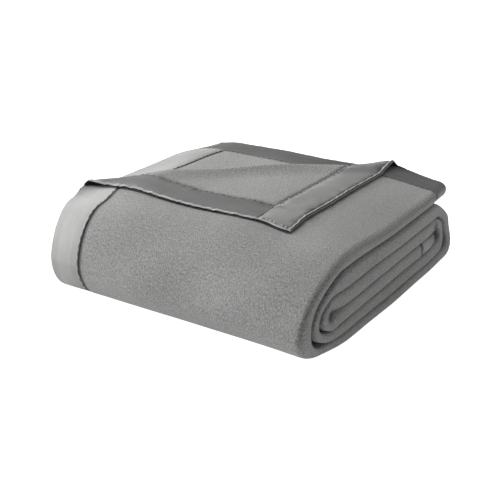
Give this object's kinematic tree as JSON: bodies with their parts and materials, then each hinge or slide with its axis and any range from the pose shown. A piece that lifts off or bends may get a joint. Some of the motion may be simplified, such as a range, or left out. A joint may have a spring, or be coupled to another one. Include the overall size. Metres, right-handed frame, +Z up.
{
  "type": "folded fleece blanket",
  "caption": "Plush fleece blanket with satin binding, folded into a strip, wound into a flat pile with a round front, one corner turned back.",
  "frame": {"origin": "middle of the bounding box's base, where the pile rests", "axes": "+Z up; +Y from the round front fold to the back, where the strip's bound outer end lies; +X from the bound left end to the folded right end"},
  "size_m": [0.386, 0.4482, 0.1299],
  "materials": {
    "fleece_grey": "plush microfleece, matt mid grey with a short brushed pile",
    "satin_grey": "smooth satin binding, mid grey with a soft sheen"
  },
  "bodies": {
    "root": {"fleece_panel": "fleece_grey", "side_binding_outer_ply": "satin_grey", "side_binding_second_ply": "satin_grey", "end_binding_top": "satin_grey", "end_binding_core": "satin_grey"}
  },
  "joints": []
}
